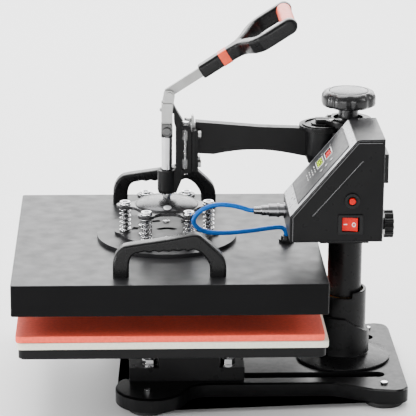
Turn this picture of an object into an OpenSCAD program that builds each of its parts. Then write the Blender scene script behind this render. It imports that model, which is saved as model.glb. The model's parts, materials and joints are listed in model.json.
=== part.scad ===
// Swing-away combination heat press with a square heated platen.
// Millimetres, +Z up, the feet stand on z = 0.  The user stands at -X, the column is at +X.

/* [Platen] */
// Side of the square heated platen cover
platen_size = 390; // [380:1:400]
// Height of the platen cover
cover_h = 40; // [36:1:44]
// Clear opening between the platen and the upper pad
press_gap = 27; // [26:0.5:28]
// Side of the square lower pads
pad_size = 382; // [372:1:388]
// Thickness of the upper silicone pad
silicone_t = 8.5; // [6:0.5:9]
// Thickness of the lower foam pad
foam_t = 8.5; // [6:0.5:9]
// Thickness of the lower plate
lower_plate_t = 14; // [12:0.5:15]

/* [Frame] */
// Distance from the ram to the column
reach = 233; // [231:1:235]
// Outside diameter of the column tube
column_d = 44.5; // [44:0.5:45]
// Thickness of the base casting
base_t = 19; // [18:0.5:20]
// Height of the rubber feet
foot_h = 6; // [5:0.5:7]
// Outside diameter of the ram tube
ram_d = 14; // [13:0.1:15]

/* [Lever] */
// Radius of the toggle crank
crank_r = 15; // [14.8:0.1:15.2]
// Slope of the lever above the horizontal at rest
lever_angle = 33; // [31:1:35]
// Distance between the outer faces of the lever fork
fork_w = 120; // [112:1:124]

/* [Controller] */
// Width of the controller box from side to side
box_w = 107; // [100:1:110]

/* [Hidden] */
$fn = 64;
// Stations along X
ram_x = -56;
column_x = ram_x + reach;
base_end = reach + 74;
boss_x = 201;
end_plate_x = 32;
flange_x = 35.5;
// Stations along Z
base_top = foot_h + base_t;
plate_z = 94;
foam_z = plate_z + lower_plate_t;
silicone_z = foam_z + foam_t;
pad_top = silicone_z + silicone_t;
cover_z = pad_top + press_gap;
cover_top = cover_z + cover_h;
disc_t = 5;
lobed_t = 4;
lobed_top = cover_top + disc_t + lobed_t;
spider_z = cover_top + 40.5;
spider_t = 4;
bolt_head_h = 3;
dome_r = 41;
dome_h = 9;
// The suspension: six bolts with springs
bolt_circle = 54;
bolt_n = 6;
float_travel = 4;
spring_r = 6.9;
spring_wire = 1.1;
spring_turns = 5;
// The toggle
crank_lean = 11.5;
pivot_z = 367.5;
pin_x = crank_r * sin(crank_lean);
pin_z = pivot_z + crank_r * cos(crank_lean);
clevis_z = 336;
guide_z = 253;
guide_h = 30;
ram_bottom = 249;
// The column
socket_top = 114;
socket_r = 29;
tube_top = 352;
hub_z = 292;
hub_top = 338;
collar_z = 190;
collar_h = 36;
knob_z = 367;
// Base outline
lobe_x = -22;
lobe_y = 105;
lobe_r = 46;
waist_y = 97;
corner_y = 127;
foot_left = [-27, 121];
foot_right = [277, 103];
foot_r = 24;
slot_y = 70;
slot_r = 9;
// Controller box
box_near = -140;
box_far = box_near + box_w;
sheet = 1.6;
slope_a = [149.5, 260.5];
slope_b = [231.5, 358];
slope_tilt = atan2(slope_b[1] - slope_a[1], slope_b[0] - slope_a[0]);
connector_at = [149, -62, 246];
rocker_tilt = 10;
display_places = [66.5, 82.6];
key_places = [65, 74.4, 84];
// Cable route from the plug to the gland on the cover, in ram coordinates
cable_r = 3;
cable_route = [
  [109, -62, 246], [102, -62, 247], [93, -62, 250], [80, -62, 253], [66, -62, 254],
  [54, -62, 252], [44, -61, 247], [37, -60, 241], [33, -60, 234], [34, -59, 227],
  [40, -58, 221], [50, -56, 216], [62, -54, 214], [78, -51, 213], [94, -47, 213],
  [110, -43, 213.5], [124, -37.9, 213.9], [136, -33, 213.8], [143, -29.9, 213.4],
  [148.5, -27.4, 211.9], [152.4, -25.7, 207.5], [154, -25, 201.5], [154, -25, 199.5]];
gland_at = [154, -25];

steel = [0.75, 0.76, 0.77];
chrome = [0.85, 0.86, 0.88];
black = [0.09, 0.09, 0.1];
dark = [0.2, 0.2, 0.21];
silver = [0.62, 0.63, 0.65];
orange = [0.95, 0.42, 0.28];
red = [0.85, 0.12, 0.1];
blue = [0.1, 0.5, 0.85];
brass = [0.75, 0.6, 0.3];

// ---- helpers ----------------------------------------------------------------

module at_ram() { translate([ram_x, 0, 0]) children(); }

module at_column() { translate([column_x, 0, 0]) children(); }

// Stands a side-view outline (x, z) upright and gives it the thickness t about y = 0
module side_slab(t) { rotate([90, 0, 0]) linear_extrude(t, center = true) children(); }

module mirrored_y() {
  children();
  mirror([0, 1, 0]) children();
}

module rounded_rect(w, d, r) {
  hull()
    for (x = [-1, 1], y = [-1, 1])
      translate([x * (w / 2 - r), y * (d / 2 - r)]) circle(r, $fn = 32);
}

module ring(r_out, r_in, h) {
  difference() {
    cylinder(h, r = r_out);
    translate([0, 0, -1]) cylinder(h + 2, r = r_in);
  }
}

module hex(across, h) { cylinder(h, d = across / cos(30), $fn = 6); }

// Rounds a vertical disc edge: the profile of a knob, foot or cap. The edge stays under half of the radius
module soft_disc(r, h, edge) {
  rotate_extrude($fn = 64)
    union() {
      square([r - edge, h]);
      square([r, h - edge]);
      translate([r - edge, h - edge]) circle(edge, $fn = 32);
    }
}

// Tube swept along a list of points
function unit(v) = v / norm(v);
function tangent(p, i) = unit(p[min(i + 1, len(p) - 1)] - p[max(i - 1, 0)]);

module swept_tube(p, r, sides) {
  rings = [for (i = [0 : len(p) - 1])
    let (t = tangent(p, i), u = unit(cross(t, [0, 1, 0.15])), v = cross(t, u))
    [for (k = [0 : sides - 1]) p[i] + r * (cos(360 * k / sides) * u + sin(360 * k / sides) * v)]];
  n = len(p);
  polyhedron(
    [for (ring_points = rings, q = ring_points) q],
    concat(
      [[for (k = [0 : sides - 1]) k]],
      [for (i = [0 : n - 2], k = [0 : sides - 1])
        [i * sides + k, (i + 1) * sides + k, i * sides + (k + 1) % sides]],
      [for (i = [0 : n - 2], k = [0 : sides - 1])
        [i * sides + (k + 1) % sides, (i + 1) * sides + k, (i + 1) * sides + (k + 1) % sides]],
      [[for (k = [sides - 1 : -1 : 0]) (n - 1) * sides + k]]));
}

// ---- base -------------------------------------------------------------------

module base_outline() {
  offset(r = -30, $fn = 40)
    offset(r = 30, $fn = 40)
      union() {
        translate([lobe_x - 14, -waist_y]) square([base_end - lobe_x - 20, 2 * waist_y]);
        for (s = [-1, 1]) {
          translate([lobe_x, s * lobe_y]) circle(lobe_r, $fn = 40);
          offset(r = 18, $fn = 24) polygon([
            [base_end - 18, s * (corner_y - 18)],
            [base_end - 40, s * (corner_y - 22)],
            [base_end - 92, s * (waist_y - 18)],
            [base_end - 18, 0]]);
        }
      }
}

module foot_places() {
  for (p = [foot_left, foot_right], s = [-1, 1])
    translate([p[0], s * p[1], 0]) children();
}

module post_places() {
  for (x = [-24, 77], s = [-1, 1])
    translate([x, s * 78, 0]) children();
}

module bracket_bolt_places() {
  for (x = [6, 47], s = [-1, 1])
    translate([x, s * slot_y, 0]) children();
}

module base_casting() {
  color(black) at_ram() difference() {
    union() {
      translate([0, 0, foot_h]) linear_extrude(base_t - 2.5) base_outline();
      translate([0, 0, foot_h + 1]) linear_extrude(base_t - 1) offset(delta = -2) base_outline();
    }
    difference() {
      translate([0, 0, foot_h - 1]) linear_extrude(base_t - 7) offset(delta = -9) base_outline();
      foot_places() cylinder(base_top, r = 13);
      translate([reach, 0, 0]) cylinder(base_top, r = 50);
    }
    for (s = [-1, 1])
      linear_extrude(60) translate([0, s * slot_y])
        offset(r = slot_r, $fn = 32) translate([-52, -0.5]) square([base_end - 35 + 52, 1]);
    foot_places() translate([0, 0, -1]) cylinder(60, r = 3.1);
    socket_bolt_places() cylinder(60, r = 5.2);
    socket_bolt_places() translate([0, 0, foot_h - 1]) cylinder(9, r = 11);
  }
}

module rubber_feet() {
  color(dark) at_ram() foot_places() difference() {
    soft_disc(foot_r, foot_h, 2);
    translate([0, 0, -1]) cylinder(4, r = 9);
    cylinder(20, r = 3.1);
  }
}

module foot_bolts() {
  color(chrome) at_ram() foot_places() {
    translate([0, 0, 1]) cylinder(2, r = 8);
    translate([0, 0, 2]) cylinder(base_top - 1, r = 3.05);
    translate([0, 0, base_top]) hex(8, 2.6);
  }
}

// ---- column socket ----------------------------------------------------------

module socket_bolt_places() {
  for (a = [45 : 90 : 315])
    translate([reach + 34 * cos(a), 34 * sin(a), 0]) children();
}

module column_socket() {
  color(black) at_ram() difference() {
    union() {
      translate([reach, 0, base_top]) {
        cylinder(3.5, r = 62);
        translate([0, 0, 3.5]) cylinder(6.5, r1 = 61, r2 = 37);
        cylinder(socket_top - base_top, r = socket_r);
        intersection() {
          cylinder(socket_top - base_top + 7, r = socket_r);
          translate([8, -60, 0]) cube([60, 120, 200]);
        }
        intersection() {
          cylinder(62, r = 34);
          translate([0, 0, -12]) rotate([0, 35, 0]) translate([-90, -60, -60]) cube([112, 120, 120]);
        }
      }
    }
    translate([reach, 0, base_top + 5]) cylinder(200, r = 25);
    socket_bolt_places() cylinder(base_top + 6, r = 4.1);
  }
}

module socket_bushing() {
  color(brass) at_column() translate([0, 0, base_top + 5])
    ring(25, column_d / 2 + 0.05, socket_top - base_top - 5);
}

module socket_bolts() {
  color(steel) at_ram() socket_bolt_places() {
    translate([0, 0, foot_h + 2.5]) hex(13, 5.5);
    translate([0, 0, foot_h + 8]) cylinder(base_t - 3, r = 4.05);
  }
}

// ---- lower platen -----------------------------------------------------------

module lower_bracket() {
  color(black) at_ram() difference() {
    translate([0, 0, base_top]) union() {
      difference() {
        translate([-50, -88, 0]) cube([148, 176, 18]);
        translate([-46, -84, -1]) cube([140, 168, 15]);
      }
      difference() {
        translate([-12, -88, 10]) cube([77, 176, plate_z - base_top - 10]);
        translate([-8, -89, 14]) cube([69, 178, plate_z - base_top - 18]);
      }
      for (s = [-1, 1]) translate([-12, s * 86 - 2, 10]) cube([77, 4, plate_z - base_top - 10]);
      bracket_bolt_places() cylinder(17, r = 9);
    }
    post_places() cylinder(80, r = 5.05);
    bracket_bolt_places() cylinder(80, r = 4.1);
  }
}

module bracket_bolts() {
  color(chrome) at_ram() bracket_bolt_places() {
    translate([0, 0, foot_h + 2]) hex(13, 7);
    translate([0, 0, foot_h + 3]) cylinder(base_t + 16, r = 4.05);
    translate([0, 0, base_top + 18]) cylinder(1.6, r = 9);
    translate([0, 0, base_top + 19.6]) hex(13, 6);
    translate([0, 0, foot_h + 9]) cylinder(2, r = 12);
  }
}

module levelling_posts() {
  color(chrome) at_ram() post_places() {
    translate([0, 0, base_top + 6]) cylinder(plate_z - base_top - 6, r = 5);
    translate([0, 0, base_top + 18]) cylinder(3, r = 9.5);
    translate([0, 0, base_top + 21]) hex(16, 7);
    translate([0, 0, plate_z - 9]) hex(16, 6);
    translate([0, 0, plate_z - 3]) cylinder(3, r = 9.5);
  }
}

module lower_plate() {
  color(black) at_ram() translate([3, 0, plate_z]) {
    translate([0, 0, 1.5]) linear_extrude(lower_plate_t - 1.5) rounded_rect(pad_size - 2, pad_size - 2, 7);
    linear_extrude(1.5) rounded_rect(pad_size - 6, pad_size - 6, 6);
  }
}

module foam_pad() {
  color([0.93, 0.91, 0.84]) at_ram() translate([4, 0, foam_z])
    linear_extrude(foam_t) rounded_rect(pad_size + 3, pad_size + 3, 4);
}

module silicone_pad() {
  color(orange) at_ram() translate([0.5, 0, silicone_z])
    linear_extrude(silicone_t) rounded_rect(pad_size, pad_size, 4);
}

// ---- column and arm ---------------------------------------------------------

module column_tube() {
  color(dark) at_column() translate([0, 0, base_top + 5.2])
    ring(column_d / 2, column_d / 2 - 3, tube_top - base_top - 5.2);
}

module tube_plug() {
  color(dark) at_column() {
    translate([0, 0, tube_top - 24]) ring(column_d / 2 - 3, 8, 20);
    translate([0, 0, tube_top - 40]) cylinder(51, r = 7.95);
  }
}

module arm_profile() {
  polygon([[flange_x + 1, 306.5], [flange_x + 1, 348], [120, 341], [boss_x, 338], [boss_x, 298],
    for (i = [0 : 8]) [boss_x - 24 - i * (boss_x - 84) / 8, 302 + 9 * sin(i * 180 / 9)]]);
}

module swing_arm() {
  color(black) at_ram() difference() {
    union() {
      side_slab(14) arm_profile();
      translate([flange_x, -20, 287]) cube([4, 40, 53]);
      translate([boss_x, 0, hub_z]) {
        cylinder(14, r1 = 19, r2 = 24.5);
        translate([0, 0, 14]) cylinder(hub_top - hub_z - 14, r = 24.5);
      }
      translate([reach, 0, hub_z]) cylinder(hub_top - hub_z, r = 31);
      translate([boss_x, -16, hub_z + 6]) cube([reach - boss_x, 32, hub_top - hub_z - 10]);
    }
    translate([reach, 0, 0]) cylinder(500, r = column_d / 2);
    arm_bolt_places() rotate([0, 90, 0]) cylinder(60, r = 3.6, center = true);
    translate([boss_x, 0, hub_top - 6]) cylinder(20, r = 14.1);
  }
}

module boss_cap() {
  color(black) at_ram() translate([boss_x, 0, 0]) difference() {
    union() {
      translate([0, 0, hub_top]) cylinder(5, r = 31);
      translate([0, 0, hub_top + 5]) ring(27.5, 24, 1.6);
      translate([0, 0, hub_top + 5]) cylinder(2.4, r = 16);
      translate([0, 0, hub_top - 5.5]) cylinder(6, r = 14);
    }
    translate([reach - boss_x, 0, 0]) cylinder(500, r = 31.2);
  }
}

module clamp_ring() {
  color(dark) at_column() difference() {
    union() {
      translate([0, 0, hub_top + 0.2]) cylinder(12, r = 30.5);
      translate([-42, -8, hub_top + 8]) cube([16, 16, 4.2]);
    }
    translate([0, 0, hub_top - 1]) cylinder(20, r = column_d / 2);
    translate([-60, -1.2, hub_top - 1]) cube([60, 2.4, 20]);
    clamp_screw_places() cylinder(40, r = 1.6, center = true);
  }
}

module clamp_screw_places() {
  for (a = [150, 210, 270]) rotate([0, 0, a]) translate([26.5, 0, hub_top + 10]) children();
}

module clamp_screws() {
  color(chrome) at_column() clamp_screw_places() {
    translate([0, 0, 2.2]) cylinder(2, r = 3);
    translate([0, 0, -8]) cylinder(11, r = 1.55);
  }
}

module arm_bolt_places() {
  for (z = [294.5, 333], y = [-13, 13]) translate([flange_x + 4, y, z]) children();
}

module arm_end_plate() {
  color(black) at_ram() difference() {
    union() {
      translate([end_plate_x, -22, 285.5]) cube([flange_x - end_plate_x, 44, 54.5]);
      for (z = [288 : 4 : 336]) translate([end_plate_x - 0.8, -18, z]) cube([1, 36, 2]);
    }
    arm_bolt_places() rotate([0, 90, 0]) cylinder(60, r = 3.6, center = true);
  }
}

module arm_bolts() {
  color(chrome) at_ram() arm_bolt_places() rotate([0, 90, 0]) {
    translate([0, 0, -6.5]) cylinder(7.5, r = 3.5);
    translate([0, 0, 0.1]) hex(8.5, 3.9);
  }
}

// ---- toggle frame -----------------------------------------------------------

module frame_web() {
  polygon([[11.3, 284], [11.3, 340], [9, 348], [9, 368], [20.4, 348.7], [21.5, 344.8], [27, 344], [27, 286],
    [24.7, 286], [12, 254], [4, 254], [4, 284]]);
}

module frame_ears() {
  polygon([[0, 360.4], [0, 374.6], [9, 370], [13, 361], [13, 358.4], [9, 358.4]]);
}

module toggle_frame() {
  color(black) at_ram() difference() {
    union() {
      side_slab(16) frame_web();
      side_slab(9.4) frame_ears();
      translate([0, 0, pivot_z]) rotate([90, 0, 0]) cylinder(9.4, r = 7, center = true);
      translate([0, 0, guide_z]) cylinder(4, r1 = 11, r2 = 12);
      translate([0, 0, guide_z + 4]) cylinder(guide_h - 4, r = 12);
      translate([26, -20, 286]) cube([5, 40, 55]);
      for (z = [283, 341]) translate([19, -19, z]) cube([11, 14, 4]);
    }
    translate([-20, -2.7, 340]) cube([29.5, 5.4, 60]);
    translate([0, 0, pivot_z]) rotate([90, 0, 0]) cylinder(40, r = 3.5, center = true);
    translate([0, 0, guide_z - 1]) cylinder(60, r = 9);
    translate([24, -13, 0]) cylinder(500, r = 2.6);
    translate([11, 0, 286]) rotate([0, 45, 0]) cylinder(9, r = 2, center = true);
  }
}

module top_strap() {
  color(steel) at_ram() difference() {
    union() {
      side_slab(12) polygon([[32, 340], [36.2, 340], [34.2, 356], [31, 356]]);
      translate([22, -6, 345]) cube([12, 12, 3]);
      translate([27.4, 0, 345]) hex(8.6, 7);
    }
    translate([20, -3.5, 348]) cube([1, 7, 9]);
  }
}

module height_screw() {
  color(chrome) at_ram() translate([24, -13, 0]) {
    translate([0, 0, 280]) cylinder(68, r = 2.55);
    for (z = [288, 326.5]) translate([0, 0, z]) hex(8, 12.5);
    translate([0, 0, 345.2]) hex(8, 5);
  }
}

module guide_bushing() {
  color(brass) at_ram() translate([0, 0, guide_z]) ring(9, ram_d / 2 + 0.05, guide_h - 1);
}

module grease_nipple() {
  color(steel) at_ram() translate([11, 0, 286]) rotate([0, 45, 0]) {
    translate([0, 0, -1.5]) cylinder(3.5, r = 1.95);
    translate([0, 0, 1]) hex(6, 2);
    translate([0, 0, 3]) cylinder(3, r1 = 1.8, r2 = 1.2);
  }
}

module pivot_pin() {
  color(steel) at_ram() translate([0, 0, pivot_z]) rotate([90, 0, 0]) cylinder(9.4, r = 3.48, center = true);
}

// ---- controller -------------------------------------------------------------

module box_outline(inset) {
  offset(delta = -inset)
    polygon([[149, 229], [149, 258.5], slope_a + [0, 1], slope_b - [2, 1], [234, 359], [265.5, 359.5],
      [264.8, 228], [151, 227.5]]);
}

module at_box(y) { translate([0, y, 0]) rotate([90, 0, 0]) children(); }

module box_bolt_places() {
  for (x = [204, 252], z = [240, 278]) translate([x, box_far, z]) rotate([-90, 0, 0]) children();
}

module box_collar() {
  color(dark) at_ram() difference() {
    union() {
      translate([reach, 0, collar_z]) cylinder(collar_h, r = 31);
      translate([reach - 18, box_far + 0.1, collar_z + 2]) cube([36, 24, collar_h - 4]);
      translate([197, box_far + 0.1, collar_z + 2]) cube([63, 5, 96]);
      translate([reach + 22, -9, collar_z + 8]) cube([16, 18, 20]);
    }
    translate([reach, 0, 0]) cylinder(500, r = column_d / 2);
    translate([reach + 20, 0, collar_z + 18]) rotate([0, 90, 0]) cylinder(40, r = 4.05);
    box_bolt_places() cylinder(20, r = 2.6, center = true);
  }
}

module box_bolts() {
  color(steel) at_ram() {
    box_bolt_places() {
      translate([0, 0, -8]) cylinder(17, r = 2.5);
      translate([0, 0, 5.1]) cylinder(3, r = 4.5);
    }
  }
}

module controller_shell() {
  color(silver) at_ram() difference() {
    at_box(box_far) linear_extrude(box_w) difference() {
      box_outline(0);
      box_outline(sheet);
    }
    translate(connector_at) rotate([0, 90, 0]) cylinder(20, r = 8.1, center = true);
    translate([260, -118, 304]) cube([10, 28, 28]);
  }
}

module near_side_cover() {
  color(black) at_ram() difference() {
    union() {
      at_box(box_near + 1.2) linear_extrude(1.2) box_outline(sheet + 0.1);
      at_box(box_near + 4) linear_extrude(2.8) difference() {
        box_outline(sheet + 0.1);
        box_outline(sheet + 1.6);
      }
      at_box(box_near) linear_extrude(0.6)
        polygon([[177, 261.4], [238, 331.9], [239.2, 330.8], [178.2, 260.3]]);
    }
    translate([224.5, box_near - 2, 251]) rotate([0, 0, 0]) cube([27.4, 20, 21.4], center = true);
    translate([226, box_near - 5, 281.6]) rotate([-90, 0, 0]) cylinder(20, r = 6.1);
  }
}

module far_side_cover() {
  color(black) at_ram() difference() {
    at_box(box_far) linear_extrude(1.2) box_outline(sheet + 0.1);
    box_bolt_places() cylinder(20, r = 2.6, center = true);
  }
}

// Places a flat piece on the sloping face, s along the slope and y across
module on_slope(s, y, lift = 0) {
  translate([slope_a[0], y, slope_a[1]]) rotate([0, -slope_tilt, 0]) translate([s, 0, lift]) children();
}

module control_panel() {
  color(dark) at_ram() {
    on_slope(65.5, box_near + 55, 1) linear_extrude(0.8) rounded_rect(97, 90, 3);
    for (s = key_places) on_slope(s, box_near + 31, 1.7) cylinder(0.6, r = 3.6);
  }
}

module led_displays() {
  color(red) at_ram() for (s = display_places)
    on_slope(s, box_near + 62.5, 1.85) translate([-5.3, -13, 0]) cube([10.6, 26, 0.8]);
}

module circuit_board() {
  color([0.1, 0.4, 0.2]) at_ram() translate([0, box_near + 20, 0]) {
    translate([246, 0, 240]) cube([1.6, 70, 60]);
    translate([226, 10, 244]) cube([20, 26, 24]);
    translate([231, 44, 250]) cube([15, 18, 20]);
    translate([234, 14, 290]) cube([12, 12, 12]);
    for (z = [246, 290], y = [6, 64]) translate([247.6, y, z]) rotate([0, 90, 0]) cylinder(15.8, r = 3);
  }
}

module connector_socket() {
  color(chrome) at_ram() translate(connector_at) rotate([0, -90, 0]) {
    translate([0, 0, -16]) cylinder(16, r = 8);
    translate([0, 0, -5]) hex(19, 3.4);
    cylinder(2.2, r = 10);
    translate([0, 0, 2.2]) cylinder(5, r = 7.6);
  }
}

module cable_plug() {
  color(chrome) at_ram() translate(connector_at) rotate([0, -90, 0]) {
    translate([0, 0, 7.2]) cylinder(3, r = 9);
    translate([0, 0, 10.2]) cylinder(11, r = 8.2);
    translate([0, 0, 21.2]) cylinder(9, r = 6.6);
    translate([0, 0, 30.2]) cylinder(9.8, r1 = 5.6, r2 = 4.6);
  }
}

module mains_inlet() {
  color(black) at_ram() difference() {
    union() {
      translate([265.6, -124, 299]) cube([6.5, 40, 37]);
      translate([246, -117, 305]) cube([20, 26, 26]);
    }
    translate([254, -114, 308]) cube([40, 20, 20]);
  }
}

module switch_bezel() {
  color(black) at_ram() translate([224.5, box_near, 251]) difference() {
    union() {
      translate([-15.5, -2.2, -12.5]) cube([31, 2.2, 25]);
      translate([-13.6, -1.2, -10.6]) cube([27.2, 20, 21.2]);
    }
    translate([-10.8, -5, -9]) cube([21.6, 17, 18]);
  }
}

module switch_rocker() {
  color(red) at_ram() translate([224.5, box_near + 3, 251]) rotate(-rocker_tilt) {
    linear_extrude(17, center = true)
      polygon([[-9.6, -5], [0, -3.6], [9.6, -5], [9.6, -1], [5, 5], [-5, 5], [-9.6, -1]]);
    cylinder(17.8, r = 1.2, center = true);
  }
}

module breaker_body() {
  color(dark) at_ram() translate([226, box_near, 281.6]) rotate([90, 0, 0]) difference() {
    union() {
      translate([0, 0, -20]) cylinder(21, r = 6);
      translate([0, 0, 0.05]) ring(9.5, 5.9, 3.1);
    }
    translate([0, 0, -8]) cylinder(20, r = 4.4);
  }
}

module reset_button() {
  color(red) at_ram() translate([226, box_near, 281.6]) rotate([90, 0, 0]) {
    translate([0, 0, -3.5]) cylinder(8.5, r = 4.1);
  }
}

// ---- knobs ------------------------------------------------------------------

module collar_knob() {
  color(dark) at_ram() translate([reach + 38.5, 0, collar_z + 18]) rotate([0, 90, 0]) {
    translate([0, 0, -14]) cylinder(16, r = 4);
    translate([0, 0, 0.3]) cylinder(12, r = 8);
    translate([0, 0, 11]) linear_extrude(12) union() {
      circle(16);
      for (a = [0 : 30 : 330]) rotate(a) translate([15.4, 0]) circle(3, $fn = 24);
    }
  }
}

module pressure_knob() {
  color(black) at_column() difference() {
    union() {
      translate([0, 0, knob_z - 15.5]) cylinder(17, r = 12.8);
      translate([0, 0, knob_z]) soft_disc(31.5, 20, 6);
      for (a = [22.5 : 45 : 360])
        rotate(a) translate([26, 0, knob_z]) soft_disc(9, 18.5, 4);
    }
    translate([0, 0, 0]) cylinder(knob_z + 2, r = 8);
    translate([0, 0, knob_z + 18]) cylinder(20, r = 24.6);
  }
}

module knob_cap() {
  color(silver) at_column() translate([0, 0, knob_z + 18]) rotate_extrude()
    polygon([[0, 0], [24.5, 0], [24.5, 2], [20, 3.2], [12, 4.1], [0, 4.5]]);
}

// ---- lever ------------------------------------------------------------------

// Lever coordinates: x along the lever from the crank pin, z across it
module on_lever() {
  translate([pin_x, 0, pin_z]) rotate([0, -lever_angle, 0]) translate([0, 0, 3]) children();
}

module lever_bar() {
  color(steel) at_ram() {
    side_slab(5) difference() {
      union() {
        hull() {
          translate([0, pivot_z]) circle(7, $fn = 48);
          translate([pin_x, pin_z]) circle(7, $fn = 48);
        }
        translate([pin_x, pin_z]) rotate(lever_angle) translate([-1, -3]) square([104, 12]);
      }
      translate([0, pivot_z]) circle(3.55, $fn = 48);
    }
    translate([pin_x, 0, pin_z]) rotate([90, 0, 0]) cylinder(9.6, r = 3.55, center = true);
  }
}

// A thin rounded slice across the grip, w wide and h high, used as a hull child
module grip_slice(x, y, w, h) {
  translate([x, y, 0]) rotate([90, 0, 90]) linear_extrude(0.5) rounded_corners(w, h, 3);
}

module rounded_corners(w, h, r) {
  for (x = [-1, 1], y = [-1, 1])
    translate([x * (w / 2 - r), y * (h / 2 - r)]) circle(r, $fn = 24);
}

module fork_grip() {
  arm_y = fork_w / 2 - 7.5;
  color(black) at_ram() on_lever() difference() {
    union() {
      translate([50, 0, 0]) rotate([90, 0, 90]) linear_extrude(30.4) rounded_rect(19, 18, 3);
      hull() {
        grip_slice(92.6, 0, 19, 18);
        grip_slice(114, 0, 22, 18);
      }
      translate([77, -7, -7]) cube([18, 14, 14]);
      mirrored_y() {
        hull() {
          grip_slice(113.8, 5, 12, 18);
          grip_slice(136, arm_y, 15, 20);
        }
        hull() {
          grip_slice(135.8, arm_y, 15, 20);
          translate([179.5, arm_y, 0]) rotate([90, 0, 0]) cylinder(15, r = 10, center = true, $fn = 32);
        }
      }
    }
    translate([0, -2.55, -6.05]) cube([103.2, 5.1, 12.1]);
  }
}

module grip_band() {
  color(orange) at_ram() on_lever() difference() {
    translate([80.5, 0, 0]) rotate([90, 0, 90]) linear_extrude(12) rounded_rect(19.6, 18.6, 3.2);
    translate([70, -7.05, -7.05]) cube([40, 14.1, 14.1]);
  }
}

module cross_grip() {
  length = fork_w - 30.4;
  color(orange) at_ram() on_lever() translate([178.5, 0, 0]) rotate([90, 0, 0])
    cylinder(length, r = 9.7, center = true);
}

// ---- toggle link ------------------------------------------------------------

module toggle_link() {
  color(steel) at_ram() {
    difference() {
      union() {
        mirrored_y() {
          translate([0, 4.9, 0]) hull() {
            translate([pin_x, 0, pin_z]) rotate([-90, 0, 0]) cylinder(2.1, r = 7, $fn = 48);
            translate([-6.5, 0, 356]) cube([13, 2.1, 6]);
          }
          translate([-7, 4.9, 348]) cube([14, 5.1, 24.4]);
        }
        translate([-7, -5, 348]) cube([14, 10, 9.4]);
        hull() {
          translate([0, 0, clevis_z]) rotate([90, 0, 0]) cylinder(8, r = 6.6, center = true, $fn = 48);
          translate([-6.5, -4, 350]) cube([13, 8, 4]);
        }
      }
      translate([0, 0, clevis_z]) rotate([90, 0, 0]) cylinder(20, r = 3.55, center = true);
    }
    mirrored_y() translate([pin_x, -6.9, pin_z]) rotate([90, 0, 0]) cylinder(3, r = 5);
    translate([-7, -7.4, 364.6]) rotate([0, -90, 0]) soft_disc(2.4, 2.4, 1);
  }
}

// ---- ram and platen suspension ----------------------------------------------

module ram_tube() {
  color(chrome) at_ram() {
    translate([0, 0, ram_bottom]) cylinder(clevis_z - 9 - ram_bottom, r = ram_d / 2);
    translate([0, 0, spider_z + 11.5]) cylinder(ram_bottom - spider_z - 11, r = 5);
  }
}

module ram_clevis() {
  color(dark) at_ram() {
    difference() {
      union() {
        hull() {
          translate([-7.2, -8, clevis_z - 3]) cube([14.4, 16, 11.4]);
          translate([0, 0, clevis_z - 9]) cylinder(1, r = 7.6);
        }
      }
      translate([-20, -4.2, clevis_z - 7.2]) cube([40, 8.4, 40]);
      translate([0, 0, clevis_z]) rotate([90, 0, 0]) cylinder(40, r = 3.5, center = true);
    }
    translate([0, 0, clevis_z]) rotate([90, 0, 0]) cylinder(18, r = 3.5, center = true);
    translate([0, -8, clevis_z]) rotate([90, 0, 0]) soft_disc(5.4, 3.4, 1.2);
    translate([0, 8, clevis_z]) rotate([-90, 0, 0]) hex(10, 5);
  }
}

module bolt_places() {
  for (a = [0 : 360 / bolt_n : 359])
    translate([bolt_circle * cos(a), bolt_circle * sin(a), 0]) children();
}

module spider_plate() {
  color(silver) at_ram() difference() {
    union() {
      translate([0, 0, spider_z]) linear_extrude(spider_t) offset(r = -12) offset(r = 12) {
        circle(43);
        for (a = [0 : 60 : 300]) rotate(a) translate([bolt_circle, 0]) circle(11, $fn = 32);
      }
      translate([0, 0, spider_z + spider_t]) rotate_extrude()
        polygon([for (i = [0 : 10]) [dome_r * cos(i * 9), dome_h * sin(i * 9)], [0, 0]]);
      translate([0, -35, spider_z + spider_t + 4.6]) rotate([19, 0, 0])
        translate([0, 0, -3]) cylinder(4, r = 5.4);
    }
    bolt_places() cylinder(500, r = 4.6);
  }
}

module platen_bolts() {
  color(chrome) at_ram() bolt_places() {
    translate([0, 0, lobed_top - 3]) cylinder(spider_z + spider_t - lobed_top + 4, r = 4);
    translate([0, 0, spider_z + spider_t + 0.05]) cylinder(1.2, r = 7.6);
    translate([0, 0, spider_z + spider_t + 1.2]) soft_disc(6.9, bolt_head_h, 1);
    translate([0, 0, lobed_top + 0.02]) cylinder(2, r = 5);
  }
}

module platen_springs() {
  steps = 10 * spring_turns;
  low = lobed_top + spring_wire + 0.1;
  high = spider_z - spring_wire - 0.1;
  helix = [for (i = [0 : steps])
    [spring_r * cos(i * 36), spring_r * sin(i * 36), low + (high - low) * i / steps]];
  color(chrome) at_ram() bolt_places() swept_tube(helix, spring_wire, 5);
}

// A curved slot between two radii, centred on +X and reaching the half span each way
module arc_slot(r_out, r_in, half_span) {
  intersection() {
    difference() {
      circle(r_out);
      circle(r_in);
    }
    polygon([[0, 0], 60 * [cos(half_span), -sin(half_span)], [60, 0], 60 * [cos(half_span), sin(half_span)]]);
  }
}

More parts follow.
